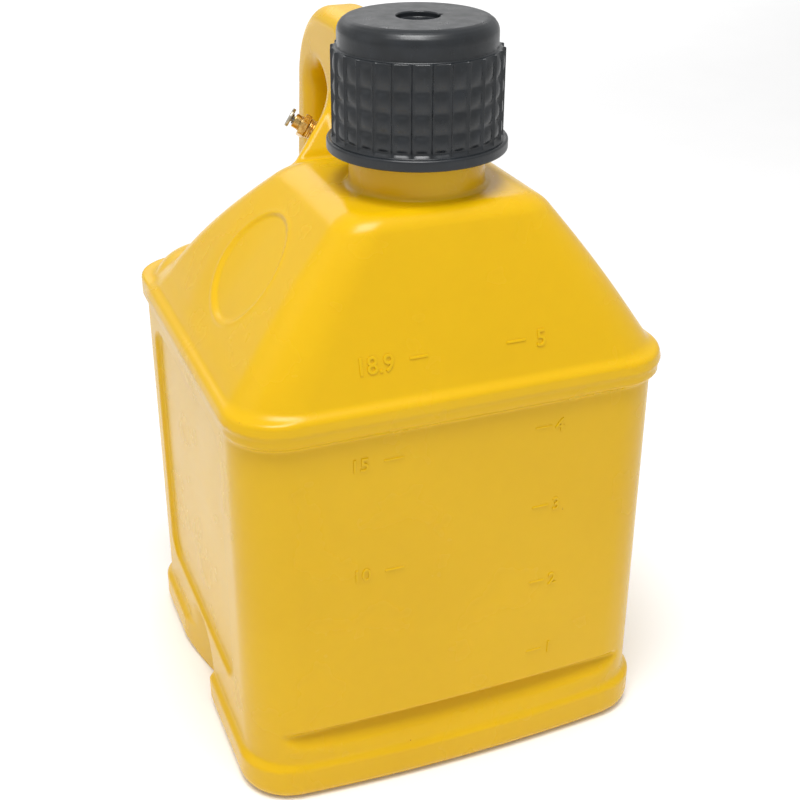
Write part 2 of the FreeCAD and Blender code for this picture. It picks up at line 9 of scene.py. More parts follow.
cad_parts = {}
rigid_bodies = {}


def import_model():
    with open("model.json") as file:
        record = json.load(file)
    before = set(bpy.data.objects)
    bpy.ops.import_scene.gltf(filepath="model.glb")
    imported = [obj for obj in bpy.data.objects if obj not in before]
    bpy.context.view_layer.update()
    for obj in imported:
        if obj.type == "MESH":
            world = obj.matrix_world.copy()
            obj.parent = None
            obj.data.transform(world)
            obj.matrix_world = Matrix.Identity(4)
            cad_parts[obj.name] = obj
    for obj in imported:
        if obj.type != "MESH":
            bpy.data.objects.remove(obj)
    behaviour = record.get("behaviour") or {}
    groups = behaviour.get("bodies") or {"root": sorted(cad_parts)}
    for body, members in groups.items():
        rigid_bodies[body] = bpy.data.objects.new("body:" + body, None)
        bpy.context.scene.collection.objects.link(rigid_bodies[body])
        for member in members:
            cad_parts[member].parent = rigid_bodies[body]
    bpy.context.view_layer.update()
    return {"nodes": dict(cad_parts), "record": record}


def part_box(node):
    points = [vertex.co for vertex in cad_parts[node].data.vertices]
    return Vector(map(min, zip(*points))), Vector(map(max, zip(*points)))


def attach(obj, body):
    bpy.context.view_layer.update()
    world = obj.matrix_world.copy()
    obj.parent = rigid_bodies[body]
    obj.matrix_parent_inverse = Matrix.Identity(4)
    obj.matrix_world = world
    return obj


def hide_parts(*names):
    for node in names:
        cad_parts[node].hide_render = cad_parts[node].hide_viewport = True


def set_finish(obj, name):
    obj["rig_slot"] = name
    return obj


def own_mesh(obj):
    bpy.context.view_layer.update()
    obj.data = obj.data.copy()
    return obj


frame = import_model()

# Lengths in this script are in millimetres, as in the drawings, and MM turns them into metres.
MM = 0.001
FINE = 1.6

# ------------------------------------------------------------------ sizes

WALL = 3.0
MESH_LOW, MESH_HIGH = (-146, -148, -5), (146, 144, 464)
HOLLOW_STEP = 4.0

# Square lower part: sides, base band, rim, bowed front and the rear terrace.
SIDE_X, SIDE_Y, CORNER_R = 135.3, 133.0, 33.0
BAND_OUT_X, BAND_OUT_Y, BAND_FADE = 3.6, 2.2, (22.5, 28.0)
RIM_OUT_X, RIM_OUT_Y, RIM_RISE = 2.2, 5.0, (251.0, 257.0)
BASE_ROUND, RIM_TOP, RIM_ROUND = 9.0, 270.5, 2.6
FRONT_BOW, TOP_BOW, BOW_FOOT, BOW_RUN, BOW_HALF = 5.2, 0.3, 26.0, 226.0, 112.0
TERRACE_X, TERRACE_Y, TERRACE_CORNER = 133.0, 134.0, 40.0
TERRACE_TOP, TERRACE_ROUND = 288.5, 30.0

# Hipped shoulder: half width, front and back of its flat top, how far each slope runs out per
# unit of drop, and how much it swells. A factor named ..._SQUARE, here and below, turns a
# distance along an axis into one square to the slope. A hip is its radius at the top and what
# it gains by HIP_DROP.
PLATEAU_Z, PLATEAU_X, PLATEAU_FRONT, PLATEAU_BACK, PLATEAU_ROUND = 370.0, 60.5, 106.0, 15.0, 9.0
SIDE_RUN, FRONT_RUN, BACK_RUN = 0.737, 0.286, 0.860
SIDE_SQUARE, FRONT_SQUARE, BACK_SQUARE = 0.805, 0.961, 0.758
SIDE_SWELL, REAR_SWELL, BACK_SWELL = 2.6, 3.4, 7.0
FRONT_HIP, BACK_HIP, HIP_DROP = (19.0, 12.0), (13.0, 8.0), 100.0
GUSSET_REACH, GUSSET_FRONT, GUSSET_SLOPE, GUSSET_SQUARE = 233.0, 26.0, 1.12, 0.666
GUSSET_MIDDLE, GUSSET_HALF = 42.5, 20.5

# Carrying loop and its finger opening.
LOOP_X, LOOP_EDGE, LOOP_FRONT, LOOP_TOP, LOOP_BACK = 17.0, 11.0, 24.0, 449.3, 126.3
LOOP_CROWN_Y, LOOP_CROWN_Z, LOOP_CROWN_R = 67.0, 390.0, 59.3
LOOP_TURN_Y, LOOP_TURN_Z, LOOP_TURN_R = 44.0, 429.3, 20.0
LOOP_LEAN, LOOP_LEAN_RUN = 7.2, 60.0
GRIP_Y, GRIP_Z, GRIP_R = 81.8, 390.3, 18.3

# Reliefs: side panels, scoops at the foot, front groove and the blank disc.
PANEL_Y, PANEL_Z, PANEL_HALF_Y, PANEL_HALF_Z, PANEL_R, PANEL_FLOOR = 3.75, 149.0, 84.75, 91.0, 16.0, 132.3
SCOOP_Y, SCOOP_FRONT, SCOOP_BACK, SCOOP_SPRING, SCOOP_RISE = 2.0, 26.0, 48.0, 14.0, 38.0
SCOOP_FOOT, SCOOP_LENGTH = -24.0, 74.0
SCOOP_FLOOR, SCOOP_RUN_OUT, SCOOP_SQUARE = 121.0, 18.5, 0.970
GROOVE_FACE, GROOVE_TOP, GROOVE_DEPTH, GROOVE_HALF = -138.2, 53.0, 9.5, 122.0
GROOVE_OVERHANG, GROOVE_SQUARE = 0.30, 0.958
DISC_Y, DISC_Z, DISC_HALF_Y, DISC_HALF_UP, DISC_DEPTH, DISC_LIP = -32.5, 322.0, 35.0, 35.5, 1.40, 0.45

# Neck, threads and vent.
NECK_Y, NECK_R, NECK_BORE_R, NECK_TOP = -54.0, 39.7, 36.1, 457.0
CAP_BORE_R, THREAD_PITCH, THREAD_DEPTH, THREAD_TURNS, NECK_THREAD_Z = 42.9, 8.0, 2.5, 2.5, 428.0
VENT_AXIS = Vector((-0.770, 0.385, 0.508)).normalized()
VENT_SEAT = Vector((-29.45, 51.1, 375.4))

# Raised marks: share of the letter's own thickness that shows, lift off the skin, and how far
# the middle of a digit is above its foot for each unit of size.
MARK_PROUD, MARK_LIFT, DIGIT_MIDDLE = 0.75, 0.12, 0.36


# ------------------------------------------------------------- blend helpers

def round_union(a, b, r):
    """Union of two fields with a concave fillet of radius r."""
    u = np.maximum(r - a, 0)
    v = np.maximum(r - b, 0)
    return np.maximum(r, np.minimum(a, b)) - np.sqrt(u * u + v * v)


def round_meet(a, b, r):
    """Intersection of two fields with a convex round of radius r."""
    u = np.maximum(r + a, 0)
    v = np.maximum(r + b, 0)
    return np.minimum(-r, np.maximum(a, b)) + np.sqrt(u * u + v * v)


def round_cut(a, b, r):
    """Field a with b taken away, its rim rounded by r."""
    return round_meet(a, -b, r)


def ease(low, high, value):
    """Smooth step from 0 to 1 between low and high."""
    t = np.clip((value - low) / (high - low), 0, 1)
    return t * t * (3 - 2 * t)


def rounded_box(u, v, half_u, half_v, radius):
    """Flat distance to a rectangle with rounded corners."""
    du = np.abs(u) - half_u + radius
    dv = np.abs(v) - half_v + radius
    outside = np.sqrt(np.maximum(du, 0) ** 2 + np.maximum(dv, 0) ** 2)
    return outside + np.minimum(np.maximum(du, dv), 0) - radius


# ------------------------------------------------------------- the jug's skin

def tub_field(x, y, z):
    """Square lower part: base band, flat sides, bowed front and the rim."""
    band = 1 - ease(*BAND_FADE, z)
    rim = ease(*RIM_RISE, z)
    half_x = SIDE_X + BAND_OUT_X * band + RIM_OUT_X * rim
    half_y = SIDE_Y + BAND_OUT_Y * band + RIM_OUT_Y * rim
    crest = FRONT_BOW + (TOP_BOW - FRONT_BOW) * np.clip((z - BOW_FOOT) / BOW_RUN, 0, 1)
    bow = crest * (1 - np.clip(np.abs(x) / BOW_HALF, 0, 1) ** 2)
    front = np.where(y < 0, bow, 0.0)
    wall = rounded_box(x, y + front, half_x, half_y, CORNER_R)
    d = round_meet(wall, -z, BASE_ROUND)
    return round_meet(d, z - RIM_TOP, RIM_ROUND)


def terrace_field(x, y, z):
    """Rounded rear ledge that rises from the rim to the foot of the shoulder."""
    wall = rounded_box(x, y, TERRACE_X, TERRACE_Y, TERRACE_CORNER)
    return np.maximum(round_meet(wall, z - TERRACE_TOP, TERRACE_ROUND), 260.0 - z)


def shoulder_field(x, y, z):
    """Hipped shoulder with a flat top and slightly swollen slopes."""
    drop = PLATEAU_Z - z
    fall = np.clip(drop / HIP_DROP, 0, 1)
    swell = np.sin(math.pi * fall)
    rear = ease(-30.0, 20.0, y)
    side_swell = (SIDE_SWELL + REAR_SWELL * rear) * swell
    side = (np.abs(x) - PLATEAU_X - SIDE_RUN * drop - side_swell) * SIDE_SQUARE
    front = (-PLATEAU_FRONT - FRONT_RUN * drop - y) * FRONT_SQUARE
    back = (y - PLATEAU_BACK - BACK_RUN * drop - BACK_SWELL * swell) * BACK_SQUARE
    d = round_meet(side, front, FRONT_HIP[0] + FRONT_HIP[1] * fall)
    d = round_meet(d, back, BACK_HIP[0] + BACK_HIP[1] * fall)
    return np.maximum(round_meet(d, -drop, PLATEAU_ROUND), 265.0 - z)


def gusset_field(x, y, z):
    """Wedge in front of the loop, with each flank square to the vent's direction."""
    flank = -VENT_AXIS.x * np.abs(x) + VENT_AXIS.y * y + VENT_AXIS.z * z - GUSSET_REACH
    crest = (z - PLATEAU_Z - GUSSET_SLOPE * (y - GUSSET_FRONT)) * GUSSET_SQUARE
    d = round_meet(flank, crest, 3.0)
    d = round_meet(d, np.abs(y - GUSSET_MIDDLE) - GUSSET_HALF, 5.0)
    return np.maximum(d, 300.0 - z)


def loop_field(x, y, z):
    """Carrying loop with its finger opening, in side view and then rounded across."""
    lean = LOOP_LEAN * np.clip((LOOP_CROWN_Z - z) / LOOP_LEAN_RUN, 0, 1)
    straight = np.maximum(y - LOOP_BACK - lean, z - LOOP_TOP)
    in_crown = (y > LOOP_CROWN_Y) & (z > LOOP_CROWN_Z)
    crown_arc = np.hypot(y - LOOP_CROWN_Y, z - LOOP_CROWN_Z) - LOOP_CROWN_R
    crown = np.where(in_crown, crown_arc, straight)
    in_turn = (y < LOOP_TURN_Y) & (z > LOOP_TURN_Z)
    turn_arc = np.hypot(y - LOOP_TURN_Y, z - LOOP_TURN_Z) - LOOP_TURN_R
    outer = np.where(in_turn, turn_arc, np.maximum(LOOP_FRONT - y, crown))
    arch = np.where(z > GRIP_Z, np.hypot(y - GRIP_Y, z - GRIP_Z), np.abs(y - GRIP_Y)) - GRIP_R
    profile = np.maximum(outer, -arch)
    return np.maximum(round_meet(profile, np.abs(x) - LOOP_X, LOOP_EDGE), 262.0 - z)


def neck_field(x, y, z):
    """Outside of the neck's tube."""
    wall = np.hypot(x, y - NECK_Y) - NECK_R
    return np.maximum(round_meet(wall, z - NECK_TOP, 1.2), 300.0 - z)


def panel_field(x, y, z):
    """Sunk panel in each side wall; its edges slope."""
    flat = rounded_box(y - PANEL_Y, z - PANEL_Z, PANEL_HALF_Y, PANEL_HALF_Z, PANEL_R)
    floor = PANEL_FLOOR - np.abs(x)
    return round_meet(flat * 0.8, floor, 2.0)


def scoop_field(x, y, z):
    """Arched scoop at the foot of each side, deepest at its upright front edge."""
    floor = (SCOOP_FLOOR + SCOOP_RUN_OUT * (y - SCOOP_FOOT) / SCOOP_LENGTH - np.abs(x)) * SCOOP_SQUARE
    rise = np.maximum(z - SCOOP_SPRING, 0) / SCOOP_RISE
    front_arch = np.hypot((y - SCOOP_Y) / SCOOP_FRONT, rise)
    back_arch = np.hypot((y - SCOOP_Y) / SCOOP_BACK, rise)
    arch = np.where(y < SCOOP_Y, front_arch, back_arch) - 1
    return round_meet(arch * 27.0, floor, 3.0)


def groove_field(x, y, z):
    """Step across the front: overhung above, two slopes running out below."""
    face = GROOVE_FACE
    ceiling = (z - GROOVE_TOP + GROOVE_OVERHANG * (y - face)) * GROOVE_SQUARE
    steep = np.minimum(face + GROOVE_DEPTH - 0.62 * (46.0 - z), face + GROOVE_DEPTH)
    gentle = face + 3.4 - 0.36 * (36.0 - z)
    floor = (y - np.maximum(steep, gentle)) * 0.88
    d = round_meet(ceiling, floor, 3.0)
    d = round_meet(d, np.abs(x) - GROOVE_HALF, 8.0)
    return np.maximum(d, 24.0 - z)


def sunk_disc(x, y, z):
    """Depth of the blank round disc sunk in the left slope, with a low lip round it."""
    up_slope = (z - DISC_Z) / SIDE_SQUARE
    reach = np.hypot((y - DISC_Y) / DISC_HALF_Y, up_slope / DISC_HALF_UP)
    across = (reach - 1) * DISC_HALF_Y
    lip = DISC_LIP * np.exp(-((across - 1.8) / 1.3) ** 2)
    on_left_slope = (x < -60) * (z > 285)
    return (DISC_DEPTH * (1 - ease(-1.8, 0.8, across)) - lip) * on_left_slope


def masses(x, y, z):
    """Everything but the neck, before the reliefs are cut."""
    d = round_union(tub_field(x, y, z), terrace_field(x, y, z), 3.0)
    roof = round_union(shoulder_field(x, y, z), gusset_field(x, y, z), 7.0)
    d = round_union(d, roof, 5.0)
    return round_union(d, loop_field(x, y, z), 7.0)


def with_reliefs(d, x, y, z):
    """A field with the side panels, scoops and front groove cut from it."""
    d = round_cut(d, panel_field(x, y, z), 2.0)
    d = round_cut(d, scoop_field(x, y, z), 2.2)
    return round_cut(d, groove_field(x, y, z), 1.6)


def jug_field(x, y, z):
    """Whole outer skin."""
    d = round_union(masses(x, y, z), neck_field(x, y, z), 3.5)
    return with_reliefs(d, x, y, z) + sunk_disc(x, y, z)


def hollow_field(x, y, z):
    """Space inside the jug and its neck."""
    bore = np.maximum(np.hypot(x, y - NECK_Y) - NECK_BORE_R, 345.0 - z)
    bore = np.maximum(bore, z - NECK_TOP - 4.0)
    return round_union(with_reliefs(masses(x, y, z), x, y, z) + WALL, bore, 2.0)


# ---------------------------------------------------------- surface from field

def slope_of(field, points, step=0.25):
    """Unit outward direction and steepness of a field at each point."""
    rise = np.empty_like(points)
    for axis in range(3):
        ahead, behind = points.copy(), points.copy()
        ahead[:, axis] += step
        behind[:, axis] -= step
        rise[:, axis] = (field(*ahead.T) - field(*behind.T)) / (2 * step)
    length = np.maximum(np.linalg.norm(rise, axis=1, keepdims=True), 0.2)
    return rise / length, length[:, 0]


def crossed_cells(values):
    """Corner signs of every cell the surface passes through, with the cells' indices."""
    inside = values < 0
    total = np.zeros(tuple(n - 1 for n in values.shape), np.int8)
    for dx in (0, 1):
        for dy in (0, 1):
            for dz in (0, 1):
                total += inside[dx:dx + total.shape[0], dy:dy + total.shape[1], dz:dz + total.shape[2]]
    return np.argwhere((total > 0) & (total < 8)), total


def mesh_from_field(field, low, high, step):
    """Closed quad mesh on the zero level of a field, settled onto it exactly."""
    axes = [np.arange(a, b + step, step, dtype=np.float32) for a, b in zip(low, high)]
    values = field(axes[0][:, None, None], axes[1][None, :, None], axes[2][None, None, :])
    values = np.ascontiguousarray(np.broadcast_to(values, [len(a) for a in axes]), dtype=np.float32)
    cells, total = crossed_cells(values)
    number = np.full(total.shape, -1, np.int64)
    number[tuple(cells.T)] = np.arange(len(cells))
    corner = {}
    for offset in np.ndindex(2, 2, 2):
        corner[offset] = values[tuple((cells + offset).T)]
    place = np.zeros((len(cells), 3))
    count = np.zeros(len(cells))
    for axis in range(3):
        for first in np.ndindex(2, 2, 2):
            if first[axis]:
                continue
            second = tuple(c + (k == axis) for k, c in enumerate(first))
            a, b = corner[first], corner[second]
            crossing = (a < 0) != (b < 0)
            t = np.where(crossing, a / np.where(crossing, a - b, 1), 0)
            spot = np.array(first, float)[None, :] + np.eye(3)[axis][None, :] * t[:, None]
            place += np.where(crossing[:, None], spot, 0)
            count += crossing
    points = (cells + place / count[:, None]) * step + np.array(low)
    quads = []
    for axis in range(3):
        u, v = [k for k in range(3) if k != axis]
        if axis == 1:
            u, v = v, u
        near = [slice(1, -1)] * 3
        near[axis] = slice(0, -1)
        far = list(near)
        far[axis] = slice(1, None)
        a, b = values[tuple(near)] < 0, values[tuple(far)] < 0
        for flip, edge in ((False, a & ~b), (True, ~a & b)):
            base = np.argwhere(edge) + [0 if k == axis else 1 for k in range(3)]
            ring = []
            for du, dv in ((-1, -1), (0, -1), (0, 0), (-1, 0)):
                shift = np.zeros(3, int)
                shift[u], shift[v] = du, dv
                ring.append(number[tuple((base + shift).T)])
            ring = np.stack(ring, 1)
            quads.append(ring[:, ::-1] if flip else ring)
    quads = np.concatenate(quads)
    for relax in (0.5, 0.4, 0.3, 0.0, 0.0):
        if relax:
            points += relax * (neighbour_mean(points, quads) - points)
        direction, steepness = slope_of(field, points)
        move = np.clip(field(*points.T) / steepness, -step, step)
        points -= direction * move[:, None]
    return points, quads


def neighbour_mean(points, quads):
    """Mean of the vertices joined to each vertex by an edge."""
    total = np.zeros_like(points)
    count = np.zeros(len(points))
    for a, b in ((0, 1), (1, 2), (2, 3), (3, 0)):
        for start, end in ((quads[:, a], quads[:, b]), (quads[:, b], quads[:, a])):
            for axis in range(3):
                total[:, axis] += np.bincount(start, points[end, axis], len(points))
            count += np.bincount(start, minlength=len(points))
    return total / count[:, None]


def new_object(name, points, faces, smooth=True):
    """Mesh object from millimetre points."""
    mesh = bpy.data.meshes.new(name)
    points = np.asarray(points, float) * MM
    faces = faces.tolist() if isinstance(faces, np.ndarray) else faces
    mesh.from_pydata(points.tolist(), [], faces)
    mesh.validate()
    mesh.polygons.foreach_set("use_smooth", [smooth] * len(mesh.polygons))
    mesh.update()
    item = bpy.data.objects.new(name, mesh)
    bpy.context.collection.objects.link(item)
    return item


def finish_piece(item, body, node, slot):
    """Say what a piece stands for, what it moves with and where its finish comes from."""
    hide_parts(node)
    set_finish(item, slot)
    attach(item, body)


def take_away(item, tool):
    """Subtract a closed mesh object from another and drop the tool."""
    cutter = item.modifiers.new("hollow", "BOOLEAN")
    cutter.operation = "DIFFERENCE"
    cutter.solver = "MANIFOLD"
    cutter.object = tool
    bpy.context.view_layer.update()
    result = bpy.data.meshes.new_from_object(item.evaluated_get(bpy.context.evaluated_depsgraph_get()))
    item.modifiers.clear()
    old = item.data
    item.data = result
    bpy.data.meshes.remove(old)
    bpy.data.objects.remove(tool)


def make_jug():
    """Blown skin, hollow, with an open neck."""
    skin, quads = mesh_from_field(jug_field, MESH_LOW, MESH_HIGH, FINE)
    box_low, box_high = (np.array(corner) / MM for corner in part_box("can_body"))
    jug = new_object("jug_shell", np.clip(skin, box_low, box_high), quads)
    take_away(jug, new_object("jug_hollow", *mesh_from_field(hollow_field, MESH_LOW, MESH_HIGH, HOLLOW_STEP)))
    finish_piece(jug, "jug", "can_body", "can_body")


# ------------------------------------------------------------- turned pieces

def rounded_profile(corners, segments=5):
    """Polyline through (radius, height, fillet) corners, each filleted by its own radius."""
    path = []
    count = len(corners)
    for index, (r, z, fillet) in enumerate(corners):
        here = Vector((r, z))
        if not fillet or index in (0, count - 1):
            path.append(tuple(here))
            continue
        before = (Vector(corners[index - 1][:2]) - here).normalized()
        after = (Vector(corners[index + 1][:2]) - here).normalized()
        half = before.angle(after) / 2
        start, end = here + before * fillet / math.tan(half), here + after * fillet / math.tan(half)
        centre = here + (before + after).normalized() * fillet / math.sin(half)
        for step in range(segments + 1):
            arm = (start - centre).lerp(end - centre, step / segments).normalized() * fillet
            path.append(tuple(centre + arm))
    return path


def refine(path, longest):
    """Profile with its long runs cut into steps no longer than given."""
    fine = [path[0]]
    for start, end in zip(path, path[1:]):
        steps = max(1, math.ceil(math.dist(start, end) / longest))
        for step in range(1, steps + 1):
            t = step / steps
            fine.append((start[0] + (end[0] - start[0]) * t, start[1] + (end[1] - start[1]) * t))
    return fine


def turned(name, radii, heights, place, sharp=40.0):
    """Surface of revolution whose radius may vary round each ring."""
    rings, columns = radii.shape
    angle = np.arange(columns) * 2 * math.pi / columns
    local = np.stack([radii * np.cos(angle), radii * np.sin(angle), heights], -1).reshape(-1, 3)
    basis = np.array(place)
    world = local @ basis[:3, :3].T + basis[:3, 3]
    ring, column = np.meshgrid(np.arange(rings - 1), np.arange(columns), indexing="ij")
    after = (column + 1) % columns
    quads = np.stack([
        ring * columns + column, ring * columns + after,
        (ring + 1) * columns + after, (ring + 1) * columns + column,
    ], -1).reshape(-1, 4)
    item = new_object(name, world, quads)
    tidy(item, sharp)
    return item


def tidy(item, sharp):
    """Merge poles and seams, face outwards, and keep hard edges hard."""
    work = bmesh.new()
    work.from_mesh(item.data)
    bmesh.ops.remove_doubles(work, verts=work.verts, dist=1e-6)
    bmesh.ops.recalc_face_normals(work, faces=work.faces)
    work.to_mesh(item.data)
    work.free()
    item.data.set_sharp_from_angle(angle=math.radians(sharp))


def rings_of(path, columns):
    """Plain rings from a (radius, height) path."""
    path = np.array(path)
    return np.repeat(path[:, :1], columns, 1), np.repeat(path[:, 1:], columns, 1)


def helical_ridge(name, radius, depth, start, turns, columns=72):
    """Screw ridge with run-out ends; a negative depth points it inwards."""
    steps = int(turns * columns)
    points, quads = [], []
    for step in range(steps + 1):
        turn = 2 * math.pi * step / columns
        fade = min(1.0, 6.0 * min(step, steps - step) / columns + 0.08)
        root, crest = radius - 0.5 * math.copysign(1, depth), radius + depth * fade
        for r, dz in ((root, -2.0), (crest, -1.2), (crest, 1.2), (root, 2.0)):
            height = start + THREAD_PITCH * step / columns + dz
            points.append((r * math.cos(turn), NECK_Y + r * math.sin(turn), height))
        if step:
            base = 4 * (step - 1)
            quads += [(base + k, base + (k + 1) % 4, base + 4 + (k + 1) % 4, base + 4 + k) for k in range(4)]
    last = 4 * steps
    quads += [(0, 3, 2, 1), (last, last + 1, last + 2, last + 3)]
    item = new_object(name, points, quads)
    tidy(item, 50.0)
    return item


def make_cap():
    """Fluted screw cap with quilted flutes, a rolled crown and a blind recess."""
    flutes, per_flute = 28, 18
    columns = flutes * per_flute
    outside = [
        (0, 462.0, 0), (12.3, 462.0, 0.7), (12.3, 465.5, 0.9), (45.6, 465.5, 8.0), (45.6, 449.0, 0.9),
        (49.4, 449.0, 0.8), (49.4, 398.0, 0.6), (52.4, 398.0, 1.4), (52.4, 391.5, 1.0),
        (CAP_BORE_R, 391.5, 0.4), (CAP_BORE_R, 459.5, 0.8), (0, 459.5, 0),
    ]
    path = refine(rounded_profile(outside, 6), 0.9)
    radii, heights = rings_of(path, columns)
    angle = np.arange(columns) * 2 * math.pi / columns
    u = ((angle * flutes / (2 * math.pi)) % 1.0) * 2 - 1
    grip = (radii > 45.7) & (radii < 49.6) & (heights > 398.3) & (heights < 449.1)
    reach = ease(45.9, 49.0, radii) * ease(398.4, 400.2, heights)
    hollow = 1.75 * np.clip(1 - np.abs(u) ** 3.4, 0, 1) ** 0.55
    across = np.clip(1 - np.abs(u / 0.84) ** 2.4, 0, 1)
    pillow = np.zeros_like(radii)
    for centre_z, half in ((441.3, 6.3), (428.4, 5.2), (416.6, 5.0), (405.4, 4.7)):
        along = np.clip(1 - np.abs((heights - centre_z) / half) ** 2.4, 0, 1)
        pillow = np.maximum(pillow, 1.25 * along * across)
    radii = radii - np.where(grip, reach * (hollow - pillow), 0)
    notch = np.exp(-((angle - math.radians(352)) / 0.10) ** 2) * 1.6
    recess = (radii > 11.0) & (radii < 13.5) & (heights > 461)
    radii = radii + np.where(recess, notch, 0)
    centre = Matrix.Translation((0, NECK_Y, 0))
    finish_piece(turned("screw_cap_shell", radii, heights, centre, 55.0), "cap", "screw_cap", "cap")


def make_threads():
    """Neck thread outside, cap thread inside, half a pitch apart."""
    cap_thread_z = NECK_THREAD_Z - THREAD_PITCH / 2
    outside = helical_ridge("neck_screw_thread", NECK_R, THREAD_DEPTH, NECK_THREAD_Z, THREAD_TURNS)
    inside = helical_ridge("cap_screw_thread", CAP_BORE_R, -THREAD_DEPTH, cap_thread_z, THREAD_TURNS)
    finish_piece(outside, "jug", "can_body", "can_body")
    finish_piece(inside, "cap", "screw_cap", "cap")


def vent_frame():
    """Placement of the vent, its own Z pointing out of the gusset's left flank."""
    return Matrix.Translation(VENT_SEAT) @ VENT_AXIS.to_track_quat("Z", "Y").to_matrix().to_4x4()


def make_vent_barrel():
    """Brass fitting: screw thread, chamfered hexagon, grooved barrel and bore."""
    columns = 96
    corners = [
        (2.0, -13.0, 0), (5.9, -13.0, 0.4), (6.6, -12.2, 0), (6.6, 3.6, 0), (6.0, 4.0, 0),
        (8.0, 4.0, 0), (8.0, 8.4, 0), (4.9, 8.4, 0.3), (4.9, 9.3, 0), (4.6, 9.6, 0), (4.6, 13.6, 0.45),
        (3.7, 13.6, 0.2), (3.7, 7.6, 0), (2.0, 7.6, 0), (2.0, -13.0, 0),
    ]
    radii, heights = rings_of(refine(rounded_profile(corners, 4), 0.22), columns)
    angle = np.arange(columns) * 2 * math.pi / columns
    flat = 7.0 / np.cos((angle + math.pi / 6) % (math.pi / 3) - math.pi / 6)
    edge = np.minimum(heights - 4.0, 8.4 - heights)
    chamfer = 7.15 + np.clip(edge, 0, 1) * 1.3
    on_hexagon = (heights > 3.95) & (heights < 8.45) & (radii > 5.5)
    radii = np.where(on_hexagon, np.minimum(radii, np.minimum(flat, chamfer)), radii)
    phase = (heights / 1.27 - angle / (2 * math.pi)) % 1.0
    groove = 0.55 * (1 - np.abs(phase * 2 - 1)) * ease(3.4, 2.4, heights) * ease(-12.6, -11.8, heights)
    on_thread = (heights < 3.6) & (radii > 6.3)
    radii = radii - np.where(on_thread, groove, 0)
    item = turned("vent_fitting", radii, heights, vent_frame(), 30.0)
    finish_piece(item, "jug", "vent_body", "vent_brass")


def make_vent_button():
    """Button with a dished face and a rolled-down lip, on its stem."""
    corners = [
        (0, -17.0, 0), (1.95, -17.0, 0.2), (1.95, 16.5, 0.3), (5.35, 16.5, 0.3), (5.35, 15.4, 0.1),
        (6.2, 15.4, 0.35), (6.2, 17.6, 0.8), (4.6, 17.5, 0.8), (4.0, 17.2, 0.6), (0, 17.2, 0),
    ]
    radii, heights = rings_of(refine(rounded_profile(corners, 4), 0.6), 64)
    item = turned("vent_push_button", radii, heights, vent_frame(), 40.0)
    finish_piece(item, "vent_plunger", "vent_button", "vent_button")


def make_vent_spring():
    """Return spring under the button, coiled round the vent's own axis."""
    turns, per_turn, sides = 5, 28, 8
    floor, low, high, radius, wire = 7.6, 7.95, 16.1, 2.85, 0.3
    steps = turns * per_turn
    points, faces = [], []
    for step in range(steps + 1):
        turn = 2 * math.pi * step / per_turn
        height = low + (high - low) * step / steps
        for side in range(sides):
            around = 2 * math.pi * side / sides
            reach = radius + wire * math.cos(around)
            points.append((reach * math.cos(turn), reach * math.sin(turn), height + wire * math.sin(around)))
        if step:
            base = sides * (step - 1)
            faces += [
                (base + k, base + (k + 1) % sides, base + sides + (k + 1) % sides, base + sides + k)
                for k in range(sides)
            ]
    faces += [tuple(range(sides))[::-1], tuple(sides * steps + k for k in range(sides))]
    place = np.array(vent_frame())
    item = new_object("vent_return_spring", np.array(points) @ place[:3, :3].T + place[:3, 3], faces)
    tidy(item, 60.0)
    finish_piece(item, "jug", "vent_spring", "spring_steel")
    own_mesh(item)


# ------------------------------------------------------------- moulded marks

def skin_depth(x, z):
    """Y of the jug's front skin at each x and z, by stepping in from the front."""
    y = np.full_like(x, -144.0)
    for _ in range(60):
        y = y + 0.8 * jug_field(x, y, z)
    return y


def text_points(word, size):
    """Raised outline of a word as flat mesh data: points (across, up, out) and faces."""
    curve = bpy.data.curves.new("word", "FONT")
    curve.body = word
    curve.size = size
    curve.extrude = 0.55
    curve.bevel_depth = 0.22
    curve.bevel_resolution = 1
    curve.resolution_u = 6
    holder = bpy.data.objects.new("word", curve)
    bpy.context.collection.objects.link(holder)
    bpy.context.view_layer.update()
    mesh = bpy.data.meshes.new_from_object(holder.evaluated_get(bpy.context.evaluated_depsgraph_get()))
    points = np.array([v.co for v in mesh.vertices], float)
    faces = [tuple(p.vertices) for p in mesh.polygons]
    bpy.data.objects.remove(holder)
    bpy.data.curves.remove(curve)
    bpy.data.meshes.remove(mesh)
    return points, faces


def make_marks():
    """Volume marks: a dash and a number at each level, raised on the front skin."""
    marks = [
        ("4", 44.8, 55.4, 236.4, 58.0, 12.0), ("3", 44.8, 55.4, 182.0, 58.0, 12.0),
        ("2", 44.8, 55.4, 127.2, 58.0, 12.0), ("1", 44.8, 55.4, 74.3, 58.0, 12.0),
        ("5", 26.0, 38.0, 293.4, 44.6, 13.5), ("15", -51.3, -39.1, 234.8, -72.0, 12.0),
        ("10", -51.3, -39.1, 160.4, -72.0, 12.0), ("18.9", -33.6, -22.8, 293.7, -66.0, 13.5),
    ]
    points, faces = [], []
    for word, left, right, level, text_left, height in marks:
        letters, letter_faces = text_points(word, height)
        letters = letters + (text_left, level - height * DIGIT_MIDDLE, 0)
        dash = dash_points(left, right, level)
        for shape, shape_faces in ((letters, letter_faces), dash):
            start = sum(len(block) for block in points)
            points.append(shape)
            faces += [tuple(start + k for k in face) for face in shape_faces]
    flat = np.concatenate(points)
    x, z, out = flat.T
    y = skin_depth(x, z)
    skin = np.stack([x, y, z], 1)
    direction, _ = slope_of(jug_field, skin)
    raised = skin + direction * (out[:, None] * MARK_PROUD + MARK_LIFT)
    item = new_object("volume_marks", raised, faces, smooth=False)
    finish_piece(item, "jug", "can_body", "can_body")


